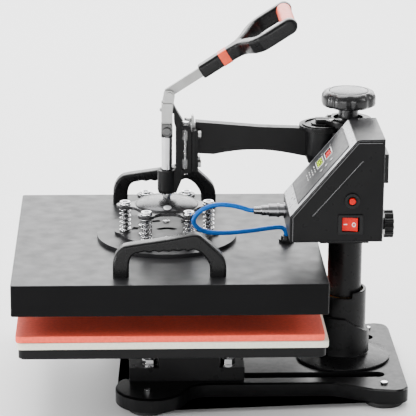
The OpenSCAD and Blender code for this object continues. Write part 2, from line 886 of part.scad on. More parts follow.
module mounting_discs() {
  color(black) at_ram() {
    translate([0, 0, cover_top]) cylinder(disc_t, r = 90.5);
    difference() {
      translate([0, 0, cover_top + disc_t]) linear_extrude(lobed_t) offset(r = -9) offset(r = 9) {
        circle(62);
        for (a = [0 : 60 : 300]) rotate(a) translate([bolt_circle, 0]) circle(14, $fn = 32);
      }
      bolt_places() translate([0, 0, lobed_top - 3.5]) cylinder(30, r = 4.02);
      translate([0, -6, lobed_top - 2]) rotate(90) linear_extrude(9) arc_slot(18, 10, 52);
      for (a = [30 : 60 : 330])
        rotate(a + 20) translate([0, 0, lobed_top - 2]) linear_extrude(9) arc_slot(46, 38, 9);
    }
    for (a = [30 : 60 : 330]) rotate(a) translate([37, 0, lobed_top]) soft_disc(4.6, 2.2, 1);
  }
}

module platen_cover() {
  color(black) at_ram() difference() {
    translate([0, 0, cover_z]) linear_extrude(cover_h) rounded_rect(platen_size, platen_size, 3);
    translate([0, 0, cover_z - 1]) linear_extrude(cover_h - 1.5)
      rounded_rect(platen_size - 4, platen_size - 4, 2);
  }
}

module heating_plate() {
  color(steel) at_ram() {
    translate([0, 0, cover_z]) linear_extrude(14) rounded_rect(platen_size - 10, platen_size - 10, 3);
    for (x = [-1, 1], y = [-1, 1])
      translate([x * 120, y * 120, cover_z + 13]) cylinder(cover_h - 15.5, r = 8);
    translate([0, 0, cover_z + 13]) cylinder(cover_h - 15.5, r = 40);
  }
}

// One carrying handle in the plane y = 0, its legs standing on z = 0
module handle_outline() {
  difference() {
    polygon([[-70, 0], [-70, 14], [-68.5, 24], [-64.5, 32.5], [-58.5, 38.5], [-50, 41.5], [-4, 48.3],
      [22, 53.4], [30, 54.8], [38, 52.8], [49, 43], [64, 28.5], [68.5, 20], [70, 12], [70, 0]]);
    polygon([[50, -1], [49.5, 12], [47.4, 18.7], [42, 27], [35.4, 32.6],
      for (i = [0 : 21]) [29 - i * 3, 34 - i * 0.1 + 0.8 * cos(i * 90)],
      [-41, 30.5], [-46, 27.5], [-49, 21], [-50, 12], [-50, -1]]);
  }
}

module carrying_handles() {
  color(black) at_ram()
    for (y = [-157, 157]) translate([0, y, cover_top]) side_slab(18) handle_outline();
}

module cable_gland() {
  color(black) at_ram() translate([gland_at[0], gland_at[1], cover_top]) difference() {
    union() {
      hex(17, 4);
      translate([0, 0, 4]) cylinder(5, r1 = 7.6, r2 = 6.4);
    }
    translate([0, 0, 2]) cylinder(20, r = cable_r + 1.6);
  }
}

module heater_cable() {
  color(blue) at_ram() swept_tube(cable_route, cable_r, 8);
}

base_casting();
rubber_feet();
foot_bolts();
column_socket();
socket_bushing();
socket_bolts();
lower_bracket();
bracket_bolts();
levelling_posts();
lower_plate();
foam_pad();
silicone_pad();
column_tube();
tube_plug();
swing_arm();
boss_cap();
clamp_ring();
clamp_screws();
arm_end_plate();
arm_bolts();
toggle_frame();
top_strap();
height_screw();
guide_bushing();
grease_nipple();
pivot_pin();
box_collar();
box_bolts();
controller_shell();
near_side_cover();
far_side_cover();
control_panel();
led_displays();
circuit_board();
connector_socket();
cable_plug();
mains_inlet();
switch_bezel();
switch_rocker();
breaker_body();
reset_button();
collar_knob();
pressure_knob();
knob_cap();
lever_bar();
fork_grip();
grip_band();
cross_grip();
toggle_link();
ram_tube();
ram_clevis();
spider_plate();
platen_bolts();
platen_springs();
mounting_discs();
platen_cover();
heating_plate();
carrying_handles();
cable_gland();
heater_cable();
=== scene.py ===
import json
import math
import random

import bmesh
import bpy
from mathutils import Matrix, Vector


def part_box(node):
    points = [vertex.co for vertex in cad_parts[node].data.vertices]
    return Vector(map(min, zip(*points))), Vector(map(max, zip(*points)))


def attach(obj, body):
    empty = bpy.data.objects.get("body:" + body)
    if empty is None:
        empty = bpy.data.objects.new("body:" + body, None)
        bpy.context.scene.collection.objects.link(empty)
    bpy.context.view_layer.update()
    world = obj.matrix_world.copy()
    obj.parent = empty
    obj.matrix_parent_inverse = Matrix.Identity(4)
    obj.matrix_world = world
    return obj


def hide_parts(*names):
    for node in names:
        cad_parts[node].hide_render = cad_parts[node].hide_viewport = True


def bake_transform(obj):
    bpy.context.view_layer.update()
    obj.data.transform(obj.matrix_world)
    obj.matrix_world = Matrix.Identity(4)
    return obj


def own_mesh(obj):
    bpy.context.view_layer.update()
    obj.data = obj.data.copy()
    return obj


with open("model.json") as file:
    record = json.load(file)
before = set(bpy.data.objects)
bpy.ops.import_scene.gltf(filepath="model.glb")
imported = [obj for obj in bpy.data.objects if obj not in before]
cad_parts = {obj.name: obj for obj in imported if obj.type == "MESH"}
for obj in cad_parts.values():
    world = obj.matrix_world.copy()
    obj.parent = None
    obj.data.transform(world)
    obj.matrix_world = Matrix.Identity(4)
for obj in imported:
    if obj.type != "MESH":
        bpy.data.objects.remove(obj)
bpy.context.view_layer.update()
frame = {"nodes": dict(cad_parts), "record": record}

RAM_X = -0.056  # the ram's axis
NODES = frame["nodes"]
# Levels and places of the CAD, in millimetres, measured from the ram's axis and the floor
COLUMN_X = 233
COVER_TOP = 192
LOBED_TOP = 201
SPIDER_Z = COVER_TOP + 40.5
KNOB_Z = 367.0
HANDLE_Y = 157


def mm(x, y, z):
    """A point in millimetres, measured from the ram's axis, as a point in the row frame."""
    return Vector((x / 1000 + RAM_X, y / 1000, z / 1000))


# ---- camera -----------------------------------------------------------------

def make_camera():
    yaw, pitch, roll = math.radians(2.30), math.radians(16.91), math.radians(0.31)
    forward = Vector((math.sin(yaw) * math.cos(pitch), math.cos(yaw) * math.cos(pitch), -math.sin(pitch)))
    level = Vector((math.cos(yaw), -math.sin(yaw), 0))
    up = level.cross(forward)
    right = level * math.cos(roll) + up * math.sin(roll)
    up = right.cross(forward)
    turn = Matrix((right, up, -forward)).transposed().to_4x4()
    data = bpy.data.cameras.new("camera")
    data.lens = 195.2
    data.sensor_width = 36
    data.clip_end = 100
    cam = bpy.data.objects.new("camera", data)
    cam.matrix_world = Matrix.Translation((-0.115, -2.798, 1.082)) @ turn
    bpy.context.scene.collection.objects.link(cam)
    bpy.context.scene.camera = cam


make_camera()


# ---- materials --------------------------------------------------------------

def material(name, color, rough, metal=0.0, coat=0.0, grain=None, vary=None, rough_vary=0.06,
             stretch=(1, 1, 1), threads=None, subsurface=0.0, specular=0.5):
    """A Principled material. grain is (size, depth) of a fine bump in metres, vary is (size, amount) of a
    slow change of colour, stretch pulls the pattern out along the axes, threads is (pitch, depth) along Z."""
    m = bpy.data.materials.new(name)
    m.use_nodes = True
    nt = m.node_tree
    shader = nt.nodes["Principled BSDF"]
    shader.inputs["Base Color"].default_value = (*color, 1)
    shader.inputs["Roughness"].default_value = rough
    shader.inputs["Metallic"].default_value = metal
    shader.inputs["Coat Weight"].default_value = coat
    shader.inputs["Coat Roughness"].default_value = 0.15
    shader.inputs["Specular IOR Level"].default_value = specular
    if subsurface:
        shader.inputs["Subsurface Weight"].default_value = subsurface
        shader.inputs["Subsurface Radius"].default_value = (0.004, 0.002, 0.0015)
    place = nt.nodes.new("ShaderNodeTexCoord")
    mapping = nt.nodes.new("ShaderNodeMapping")
    mapping.inputs["Scale"].default_value = stretch
    nt.links.new(place.outputs["Object"], mapping.inputs["Vector"])

    def noise(size, detail):
        n = nt.nodes.new("ShaderNodeTexNoise")
        n.inputs["Scale"].default_value = 1 / size
        n.inputs["Detail"].default_value = detail
        nt.links.new(mapping.outputs["Vector"], n.inputs["Vector"])
        return n.outputs["Fac"]

    size, amount = vary or (0.03, 0.12)
    slow = noise(size, 4)
    ramp = nt.nodes.new("ShaderNodeValToRGB")
    for stop, k in zip(ramp.color_ramp.elements, (1 - amount, 1 + amount)):
        stop.color = (*[min(1, c * k) for c in color], 1)
    ramp.color_ramp.elements[0].position = 0.3
    ramp.color_ramp.elements[1].position = 0.7
    nt.links.new(slow, ramp.inputs["Fac"])
    nt.links.new(ramp.outputs["Color"], shader.inputs["Base Color"])
    span = nt.nodes.new("ShaderNodeMapRange")
    span.inputs["From Min"].default_value = 0.3
    span.inputs["From Max"].default_value = 0.7
    span.inputs["To Min"].default_value = max(0.02, rough - rough_vary)
    span.inputs["To Max"].default_value = min(1, rough + rough_vary)
    nt.links.new(noise(size * 0.35, 5), span.inputs["Value"])
    nt.links.new(span.outputs["Result"], shader.inputs["Roughness"])
    height = None
    depth = 0
    if grain:
        height, depth = noise(grain[0], 2), grain[1]
    if threads:
        wave = nt.nodes.new("ShaderNodeTexWave")
        wave.bands_direction = "Z"
        wave.inputs["Scale"].default_value = 0.314 / threads[0]
        nt.links.new(place.outputs["Object"], wave.inputs["Vector"])
        height, depth = wave.outputs["Fac"], threads[1]
    if height is not None:
        bump = nt.nodes.new("ShaderNodeBump")
        bump.inputs["Strength"].default_value = 1
        bump.inputs["Distance"].default_value = depth
        nt.links.new(height, bump.inputs["Height"])
        nt.links.new(bump.outputs["Normal"], shader.inputs["Normal"])
    return m


def glow(name, color, strength):
    m = material(name, color, 0.3)
    shader = m.node_tree.nodes["Principled BSDF"]
    shader.inputs["Emission Color"].default_value = (*color, 1)
    shader.inputs["Emission Strength"].default_value = strength
    return m


MATS = {
    "cover_paint": material("cover_paint", (0.014, 0.014, 0.015), 0.36, grain=(0.0006, 0.00002), vary=(0.06, 0.12),
                            specular=0.15),
    # A darker, less shiny copy of cover_paint for the platen cover's steep sides: painted shade
    "cover_side_painted_shade": material("cover_side_painted_shade", (0.0035, 0.0035, 0.0038), 0.34, grain=(0.0006, 0.00002), vary=(0.06, 0.12),
                           specular=0.06),
    "casting": material("casting", (0.004, 0.004, 0.0043), 0.34, grain=(0.0012, 0.00004), vary=(0.02, 0.2),
                        specular=0.13),
    "satin": material("satin", (0.0045, 0.0045, 0.0048), 0.32, grain=(0.0007, 0.00002), vary=(0.03, 0.15),
                      specular=0.12),
    "frame_paint": material("frame_paint", (0.005, 0.005, 0.0053), 0.42, grain=(0.0008, 0.00007), vary=(0.01, 0.2),
                            specular=0.13),
    "column_paint": material("column_paint", (0.005, 0.005, 0.0053), 0.3, grain=(0.0007, 0.00002), vary=(0.03, 0.15),
                             specular=0.13),
    "oxide": material("oxide", (0.04, 0.04, 0.042), 0.35, metal=0.6, grain=(0.0006, 0.00002)),
    "clevis_metal": material("clevis_metal", (0.1, 0.1, 0.1), 0.3, metal=0.9, grain=(0.0005, 0.00002)),
    "steel": material("steel", (0.36, 0.36, 0.355), 0.3, metal=0.95, grain=(0.0004, 0.00001), stretch=(1, 1, 0.06)),
    "lever_steel": material("lever_steel", (0.3, 0.3, 0.295), 0.38, metal=0.85, grain=(0.0005, 0.00002)),
    "chrome": material("chrome", (0.56, 0.56, 0.57), 0.1, metal=1.0, rough_vary=0.04),
    "thread": material("thread", (0.5, 0.5, 0.5), 0.22, metal=1.0, threads=(0.0015, 0.0004)),
    "brass": material("brass", (0.6, 0.4, 0.16), 0.3, metal=1.0, grain=(0.0005, 0.00001)),
    "alloy": material("alloy", (0.5, 0.5, 0.51), 0.4, metal=1.0, grain=(0.0008, 0.00002)),
    "dome_paint": material("dome_paint", (0.045, 0.045, 0.047), 0.28, metal=0.75, grain=(0.0008, 0.00001),
                           vary=(0.02, 0.12)),
    # Light silver: the real colour of the spider's plug, and a painted reflection on the controller's sloping face
    "plug_silver_and_slope_sheen": material("plug_silver_and_slope_sheen", (0.5, 0.505, 0.52), 0.3, metal=0.45, grain=(0.0006, 0.00003),
                            vary=(0.02, 0.05)),
    # Light grey metal used as a painted highlight on the near cover's edges
    "highlight_grey_paint": material("highlight_grey_paint", (0.14, 0.14, 0.145), 0.35, metal=0.5, vary=(0.004, 0.2)),
    "rubber": material("rubber", (0.01, 0.01, 0.01), 0.6, grain=(0.0008, 0.00006), specular=0.3),
    "silicone": material("silicone", (0.9, 0.105, 0.06), 0.6, grain=(0.0011, 0.00016), vary=(0.004, 0.09),
                         subsurface=0.05, specular=0.25),
    "foam": material("foam", (0.8, 0.79, 0.66), 0.85, grain=(0.0014, 0.0004), vary=(0.003, 0.06), subsurface=0.1),
    "plastic": material("plastic", (0.005, 0.005, 0.0053), 0.34, grain=(0.0005, 0.00003), specular=0.18),
    "knob_plastic": material("knob_plastic", (0.011, 0.011, 0.0115), 0.28, grain=(0.0006, 0.00001), coat=0.12,
                             specular=0.35),
    "grip": material("grip", (0.0045, 0.0045, 0.0048), 0.28, grain=(0.0008, 0.00002), specular=0.18),
    "orange": material("orange", (0.78, 0.075, 0.025), 0.36, grain=(0.001, 0.00002), vary=(0.01, 0.08),
                       subsurface=0.05, specular=0.3),
    "red": material("red", (0.55, 0.004, 0.002), 0.3, grain=(0.0006, 0.00001), vary=(0.004, 0.08), specular=0.15),
    "knurled": material("knurled", (0.26, 0.26, 0.27), 0.3, metal=1.0, grain=(0.0005, 0.000006)),
    "film": material("film", (0.03, 0.031, 0.033), 0.42, grain=(0.0004, 0.00001), vary=(0.02, 0.08)),
    "outline": material("outline", (0.012, 0.012, 0.013), 0.4, vary=(0.01, 0.1), specular=0.2),
    "window": material("window", (0.035, 0.012, 0.018), 0.16, coat=0.3, specular=0.3),
    "red_led": glow("red_led", (1.0, 0.02, 0.012), 0.9),
    "green_led": glow("green_led", (0.6, 0.95, 0.01), 0.8),
    "print": material("print", (0.72, 0.72, 0.72), 0.5, vary=(0.002, 0.1)),
    "board": material("board", (0.02, 0.12, 0.04), 0.4),
    "blue": material("blue", (0.0004, 0.11, 0.45), 0.34, grain=(0.0009, 0.00003), vary=(0.004, 0.12), specular=0.25),
    "cap_grey": material("cap_grey", (0.1, 0.103, 0.108), 0.3, grain=(0.0006, 0.00002)),
}


# ---- mesh helpers -----------------------------------------------------------

def cad_mesh(node, dissolve=0.6):
    bm = bmesh.new()
    bm.from_mesh(NODES[node].data)
    bmesh.ops.remove_doubles(bm, verts=bm.verts, dist=4e-6)
    bmesh.ops.dissolve_limit(bm, angle_limit=math.radians(dissolve), verts=bm.verts[:], edges=bm.edges[:])
    return bm


def round_edges(bm, width, segments=2, above=38, test=None, clamp=True):
    edges = [e for e in bm.edges if len(e.link_faces) == 2
             and e.calc_face_angle(0) > math.radians(above) and (test is None or test(e))]
    if edges:
        bmesh.ops.bevel(bm, geom=edges, offset=width, offset_type="OFFSET", segments=segments,
                        profile=0.5, affect="EDGES", clamp_overlap=clamp)


def piece(bm, name, body, mat, stands_for=(), smooth=42):
    for f in bm.faces:
        f.smooth = True
    for e in bm.edges:
        e.smooth = len(e.link_faces) == 2 and e.calc_face_angle(0) < math.radians(smooth)
    me = bpy.data.meshes.new(name)
    bm.to_mesh(me)
    bm.free()
    ob = bpy.data.objects.new(name, me)
    bpy.context.scene.collection.objects.link(ob)
    me.materials.append(MATS[mat])
    normals = ob.modifiers.new("normals", "WEIGHTED_NORMAL")
    normals.keep_sharp = True
    if body:
        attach(ob, body)
    if stands_for:
        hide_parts(*stands_for)
    return ob


BODY_OF = {n: b for b, ns in frame["record"]["behaviour"]["bodies"].items() for n in ns}


def dressed(node, mat, width=0.0006, segments=2, above=38, smooth=42, edit=None, clamp=True):
    bm = cad_mesh(node)
    if edit:
        edit(bm)
    round_edges(bm, width, segments, above, clamp=clamp)
    return piece(bm, node + "_shape", BODY_OF[node], mat, [node], smooth)


def loft(rings, bm=None, caps=True):
    """Faces between rings of points that all have the same number of points."""
    bm = bm or bmesh.new()
    made = [[bm.verts.new(p) for p in ring] for ring in rings]
    for a, b in zip(made, made[1:]):
        for i in range(len(a)):
            j = (i + 1) % len(a)
            bm.faces.new((a[i], a[j], b[j], b[i]))
    if caps:
        bm.faces.new(made[0][::-1])
        bm.faces.new(made[-1])
    return bm


def circle(centre, radius, count=32, axis="Z", phase=0.0):
    out = []
    for i in range(count):
        a = 2 * math.pi * i / count + phase
        c, s = radius * math.cos(a), radius * math.sin(a)
        d = {"Z": (c, s, 0), "Y": (c, 0, -s), "X": (0, c, s)}[axis]
        out.append(Vector(centre) + Vector(d))
    return out


def hexagon(centre, radius, count=24):
    out = []
    for i in range(count):
        a = 2 * math.pi * i / count
        k = math.cos(math.pi / 6) / math.cos((a % (math.pi / 3)) - math.pi / 6)
        out.append(Vector(centre) + Vector((radius * k * math.cos(a), radius * k * math.sin(a), 0)))
    return out


def tube(points, radius, sides, bm=None):
    bm = bm or bmesh.new()
    rings = []
    side = Vector((0, 0.2, 1)).normalized()
    for i, p in enumerate(points):
        t = (points[min(i + 1, len(points) - 1)] - points[max(i - 1, 0)]).normalized()
        side = (side - t * side.dot(t)).normalized()
        other = t.cross(side)
        rings.append([p + radius * (math.cos(a) * side + math.sin(a) * other)
                      for a in (2 * math.pi * k / sides for k in range(sides))])
    return loft(rings, bm)


def curve_through(points, steps):
    """A smooth line through the points (centripetal enough for even spacing)."""
    out = []
    for i in range(len(points) - 1):
        p0, p1, p2, p3 = (points[max(0, min(len(points) - 1, i + k))] for k in (-1, 0, 1, 2))
        for j in range(steps):
            t = j / steps
            out.append(0.5 * ((2 * p1) + (p2 - p0) * t + (2 * p0 - 5 * p1 + 4 * p2 - p3) * t * t
                              + (3 * p1 - p0 - 3 * p2 + p3) * t ** 3))
    out.append(points[-1])
    return out


# ---- heater cable -----------------------------------------------------------

ROUTE = [(109, -62, 246), (102, -62, 247), (93, -62, 250), (80, -62, 253), (66, -62, 254),
         (54, -62, 252), (44, -61, 247), (37, -60, 241), (33, -60, 234), (34, -59, 227),
         (40, -58, 221), (50, -56, 216), (62, -54, 214), (78, -51, 213), (94, -47, 213),
         (110, -43, 213.5), (124, -37.9, 213.9), (136, -33, 213.8), (143, -29.9, 213.4),
         (148.5, -27.4, 211.9), (152.4, -25.7, 207.5), (154, -25, 201.5), (154, -25, 199.5)]


def make_cable():
    line = curve_through([mm(*p) for p in ROUTE], 4)
    bm = tube(line, 0.0030, 16)
    cable = piece(bm, "heater_cable_shape", None, "blue", ["heater_cable"])
    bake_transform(cable)
    return cable


make_cable()


# ---- base -------------------------------------------------------------------

def chamfer_step(bm):
    """The step round the casting's top edge becomes a slope, ready to be rounded."""
    top = max(v.co.z for v in bm.verts)
    tops = {(round(v.co.x, 5), round(v.co.y, 5)) for v in bm.verts if v.co.z > top - 1e-5}
    for v in bm.verts:
        if top - 0.0028 < v.co.z < top - 0.0022 and (round(v.co.x, 5), round(v.co.y, 5)) in tops:
            v.co.z = top
    bmesh.ops.remove_doubles(bm, verts=bm.verts, dist=2e-5)


dressed("base_casting", "casting", 0.0022, 4, above=25, edit=chamfer_step)
dressed("rubber_feet", "rubber", 0.0008)
dressed("foot_bolts", "chrome", 0.0004)
dressed("column_socket", "column_paint", 0.0015, 3)
dressed("socket_bolts", "steel", 0.0004)
dressed("lower_bracket", "satin", 0.0008, 2)
dressed("bracket_bolts", "chrome", 0.0004)
dressed("levelling_posts", "chrome", 0.0004)
dressed("lower_plate", "casting", 0.0022, 4)

# ---- pads -------------------------------------------------------------------

def make_pad(node, mat, ripple, seed):
    """A pad cut from sheet: its edges are soft and its faces very slightly uneven."""
    low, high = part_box(node)
    rng = random.Random(seed)
    phases = [(rng.uniform(20, 60), rng.uniform(20, 60), rng.uniform(0, 6.28)) for _ in range(5)]
    bm = bmesh.new()
    count = 56
    radius = 0.006

    def corner(x, y):
        cx = min(max(x, low.x + radius), high.x - radius)
        cy = min(max(y, low.y + radius), high.y - radius)
        d = Vector((x - cx, y - cy))
        if d.length > 1e-9 and abs(x - cx) > 0 and abs(y - cy) > 0:
            d = d.normalized() * radius
            return cx + d.x, cy + d.y
        return x, y

    def sink(x, y):
        w = sum(math.sin(a * x + b * y + c) for a, b, c in phases) / 5
        return ripple * (0.5 + 0.5 * w)

    def layer(z, inset, side):
        verts = {}
        for i in range(count + 1):
            for j in range(count + 1):
                x, y = corner(low.x + (high.x - low.x) * i / count, low.y + (high.y - low.y) * j / count)
                fx = (x - low.x) / (high.x - low.x)
                fy = (y - low.y) / (high.y - low.y)
                x += inset * ((fx < 0.002) - (fx > 0.998))
                y += inset * ((fy < 0.002) - (fy > 0.998))
                verts[i, j] = bm.verts.new((x, y, z - side * sink(x, y)))
        return verts

    upper, lower = layer(high.z, 0.0007, 1), layer(low.z, 0.0007, 0)
    for i in range(count):
        for j in range(count):
            bm.faces.new((upper[i, j], upper[i + 1, j], upper[i + 1, j + 1], upper[i, j + 1]))
            bm.faces.new((lower[i, j + 1], lower[i + 1, j + 1], lower[i + 1, j], lower[i, j]))
    rim = ([(i, 0) for i in range(count)] + [(count, j) for j in range(count)]
           + [(i, count) for i in range(count, 0, -1)] + [(0, j) for j in range(count, 0, -1)])
    middles = []
    for level in (0.12, 0.5, 0.88):
        ring = []
        for i, j in rim:
            a, b = lower[i, j].co, upper[i, j].co
            p = a.lerp(b, level)
            out = Vector((p.x - (low.x + high.x) / 2, p.y - (low.y + high.y) / 2, 0))
            axis = Vector((0, 0, 0))
            if i in (0, count):
                axis.x = math.copysign(1, out.x)
            if j in (0, count):
                axis.y = math.copysign(1, out.y)
            wobble = 0.00025 * math.sin(900 * (p.x + p.y) + 4 * level)
            ring.append(bm.verts.new(p + axis.normalized() * (0.0006 + wobble * 0.4)))
        middles.append(ring)
    rings = [[lower[k] for k in rim], *middles, [upper[k] for k in rim]]
    for a, b in zip(rings, rings[1:]):
        for k in range(len(rim)):
            n = (k + 1) % len(rim)
            bm.faces.new((a[k], a[n], b[n], b[k]))
    bmesh.ops.recalc_face_normals(bm, faces=bm.faces)
    pad = piece(bm, node + "_shape", "base", mat, [node], smooth=60)
    return pad


make_pad("foam_pad", "foam", 0.0, 3)
make_pad("silicone_pad", "silicone", 0.0003, 5)

# ---- column and arm ---------------------------------------------------------

dressed("column_tube", "column_paint", 0.0006)
dressed("swing_arm", "casting", 0.002, 3)
dressed("boss_cap", "satin", 0.001, 2)
dressed("clamp_ring", "satin", 0.0008, 2)
dressed("arm_end_plate", "casting", 0.001, 2)
dressed("arm_bolts", "steel", 0.0005)
dressed("toggle_frame", "frame_paint", 0.0012, 3)
dressed("top_strap", "steel", 0.0003)
dressed("height_screw", "thread", 0.0003)
dressed("box_collar", "satin", 0.0008)
dressed("ram_tube", "chrome", 0.0004)
dressed("ram_clevis", "clevis_metal", 0.0007)
dressed("toggle_link", "steel", 0.0007)

# ---- lever ------------------------------------------------------------------

dressed("lever_bar", "lever_steel", 0.0006)


def on_lever(x, y, z):
    """A point in the lever's own coordinates: x along the lever from the crank pin, y across, z square to it."""
    a = math.radians(33)
    px, pz = 15 * math.sin(math.radians(11.5)), 367.5 + 15 * math.cos(math.radians(11.5))
    return mm(px + x * math.cos(a) - (z + 3) * math.sin(a), y, pz + x * math.sin(a) + (z + 3) * math.cos(a))


def rounded_section(w, h, r, count=5):
    out = []
    for cx, cz, start in ((w / 2 - r, h / 2 - r, 0), (-w / 2 + r, h / 2 - r, 90), (-w / 2 + r, -h / 2 + r, 180),
                          (w / 2 - r, -h / 2 + r, 270)):
        for i in range(count):
            a = math.radians(start + 90 * i / (count - 1))
            out.append((cx + r * math.cos(a), cz + r * math.sin(a)))
    return out


def make_fork():
    """One moulded grip that splits into two prongs, blended by a fine remesh."""
    bm = bmesh.new()
    body = [(50.2, 17.0, 16.0), (51.2, 18.6, 17.6), (53, 19, 18), (80, 19, 18), (96, 19.4, 18), (106, 22, 18),
            (113, 27, 17.6), (116.5, 28, 16.8)]
    loft([[on_lever(x, a, b) for a, b in rounded_section(w, h, 3.5)] for x, w, h in body], bm)
    path = [(100, 4.2), (108, 6.2), (114, 10.5), (119.5, 18.5), (124.5, 29), (129.5, 39), (135, 46), (141, 49.6),
            (148, 50.5), (179.5, 50.5), (183.5, 50.5), (186.5, 50.5), (188.6, 50.5), (189.4, 50.5)]
    for side in (-1, 1):
        rings = []
        for i, (x, y) in enumerate(path):
            a, b = path[max(0, i - 1)], path[min(len(path) - 1, i + 1)]
            t = Vector((b[0] - a[0], b[1] - a[1])).normalized()
            n = Vector((-t.y, t.x))
            h = min(20, 17.6 + (x - 100) * 0.07)
            if x > 179.5:
                h = 2 * math.sqrt(max(4.0, 100 - (x - 179.5) ** 2))
            w = 15 if x < 186 else 15 - (x - 186) * 1.1
            w = w if x > 140 else 13.5
            rings.append([on_lever(x + n.x * a2, side * (y + n.y * a2), b2)
                          for a2, b2 in rounded_section(w, h, min(3.6, h / 2.2))])
        loft(rings, bm)
    bmesh.ops.recalc_face_normals(bm, faces=bm.faces)
    me = bpy.data.meshes.new("fork")
    bm.to_mesh(me)
    bm.free()
    ob = bpy.data.objects.new("fork", me)
    bpy.context.scene.collection.objects.link(ob)
    remesh = ob.modifiers.new("remesh", "REMESH")
    remesh.mode = "VOXEL"
    remesh.voxel_size = 0.0011
    relax = ob.modifiers.new("relax", "SMOOTH")
    relax.factor = 0.5
    relax.iterations = 5
    bpy.context.view_layer.update()
    done = bpy.data.meshes.new_from_object(ob.evaluated_get(bpy.context.evaluated_depsgraph_get()))
    bpy.data.objects.remove(ob)
    bm = bmesh.new()
    bm.from_mesh(done)
    bpy.data.meshes.remove(done)
    return piece(bm, "fork_grip_shape", "lever", "grip", ["fork_grip"], 80)


make_fork()
dressed("grip_band", "orange", 0.0006)
dressed("cross_grip", "orange", 0.001)

# ---- knobs ------------------------------------------------------------------


def make_knob():
    """The pressure knob: eight wide panels with narrow grooves between, a rounded shoulder and a sunk top."""
    outline = [(12.8, -15.4, 0), (12.8, 0.0, 0), (24, 0.3, 0.3), (30.5, 1.0, 1), (33, 2.6, 1), (33.6, 5, 1),
               (33.6, 11.5, 1), (33.2, 14.2, 1), (32.1, 16.6, 1), (30.4, 18.5, 0.9), (28.6, 19.6, 0.6),
               (27.2, 20.0, 0.3), (25.6, 19.8, 0), (25.0, 19.0, 0), (24.8, 17.9, 0), (8.05, 17.9, 0),
               (8.05, -15.4, 0)]
    count = 192
    bm = bmesh.new()
    rings = []
    for r, z, lobes in outline:
        ring = []
        for i in range(count):
            a = 2 * math.pi * i / count
            groove = ((1 - math.cos(8 * (a - math.radians(22.5)))) / 2) ** 4
            k = r + lobes * (1.4 - 1.9 * groove)
            ring.append(bm.verts.new(mm(COLUMN_X + k * math.cos(a), k * math.sin(a), KNOB_Z + z)))
        rings.append(ring)
    for a, b in zip(rings, rings[1:] + rings[:1]):
        for i in range(count):
            j = (i + 1) % count
            bm.faces.new((a[i], a[j], b[j], b[i]))
    bmesh.ops.recalc_face_normals(bm, faces=bm.faces)
    return piece(bm, "pressure_knob_shape", "top_knob", "knob_plastic", ["pressure_knob"], 50)


make_knob()
dressed("knob_cap", "cap_grey", 0.001, 3)
dressed("collar_knob", "plastic", 0.0008, 2)

# ---- controller -------------------------------------------------------------

SLOPE_A, SLOPE_B = (149.5, 260.5), (231.5, 358)
TILT = math.atan2(SLOPE_B[1] - SLOPE_A[1], SLOPE_B[0] - SLOPE_A[0])
SLOPE_NORMAL = Vector((-math.sin(TILT), 0, math.cos(TILT)))
NEAR = -140


def on_slope(s, v, lift):
    """A point on the sloping face: s millimetres up the slope, v across from the near side."""
    x = SLOPE_A[0] + s * math.cos(TILT) - lift * math.sin(TILT)
    z = SLOPE_A[1] + s * math.sin(TILT) + lift * math.cos(TILT)
    return mm(x, NEAR + v, z)


def repaint(ob, mat, chosen):
    """Gives the faces that chosen(face) picks a second material."""
    ob.data.materials.append(MATS[mat])
    last = len(ob.data.materials) - 1
    for f in ob.data.polygons:
        if chosen(f):
            f.material_index = last


shell = dressed("controller_shell", "cover_paint", 0.0009, 2)
# The shell's sloping face is coloured light silver: a painted reflection of the light on the black shell
repaint(shell, "plug_silver_and_slope_sheen", lambda f: f.normal.dot(SLOPE_NORMAL) > 0.9)
cover = dressed("near_side_cover", "satin", 0.0005, 2)
# The near cover's bevel faces that face forward and up get the light grey: a painted highlight along the edge
repaint(cover, "highlight_grey_paint", lambda f: -0.98 < f.normal.y < -0.2 and f.normal.z > 0.1)


def painted_edge_highlight():
    """A thin light line just inside the near cover's front and top edges: a painted highlight where the edge catches
    the light.
    """
    line = [(152.9, 229), (152.9, 259.4), (232.5, 354.6), (262, 354.6)]
    bm = bmesh.new()
    for (x0, z0), (x1, z1) in zip(line, line[1:]):
        d = Vector((x1 - x0, z1 - z0)).normalized()
        n = Vector((-d.y, d.x)) * 0.28
        corners = [(x0 + n.x, z0 + n.y), (x1 + n.x, z1 + n.y), (x1 - n.x, z1 - n.y), (x0 - n.x, z0 - n.y)]
        loft([[mm(x, y, z) for x, z in corners] for y in (NEAR + 0.1, NEAR - 0.3)], bm)
    bmesh.ops.recalc_face_normals(bm, faces=bm.faces)
    return piece(bm, "cover_painted_edge_highlight", "swing", "highlight_grey_paint", ["near_side_cover"])


painted_edge_highlight()
dressed("far_side_cover", "satin", 0.0004)
dressed("control_panel", "film", 0.0002)
dressed("led_displays", "window", 0.0002)


def stroke(bm, a, b, width, lift, thick):
    """A flat bar on the slope between two (s, v) points."""
    d = Vector((b[0] - a[0], b[1] - a[1])).normalized() * width / 2
    n = Vector((-d.y, d.x))
    corners = [(a[0] - d.x + n.x, a[1] - d.y + n.y), (b[0] + d.x + n.x, b[1] + d.y + n.y),
               (b[0] + d.x - n.x, b[1] + d.y - n.y), (a[0] - d.x - n.x, a[1] - d.y - n.y)]
    return loft([[on_slope(x, y, lift + k) for x, y in corners] for k in (0, thick)], bm)


def marks(name, mat, draw, node="control_panel"):
    bm = bmesh.new()
    draw(bm)
    bmesh.ops.recalc_face_normals(bm, faces=bm.faces)
    return piece(bm, name, "swing", mat, [node])


def panel_frame(bm):
    s0, s1, v0, v1 = 65.5 - 47, 65.5 + 47, 55 - 43.6, 55 + 43.6
    for a, b in (((s0, v0), (s1, v0)), ((s1, v0), (s1, v1)), ((s1, v1), (s0, v1)), ((s0, v1), (s0, v0))):
        stroke(bm, a, b, 0.9, 1.78, 0.08)


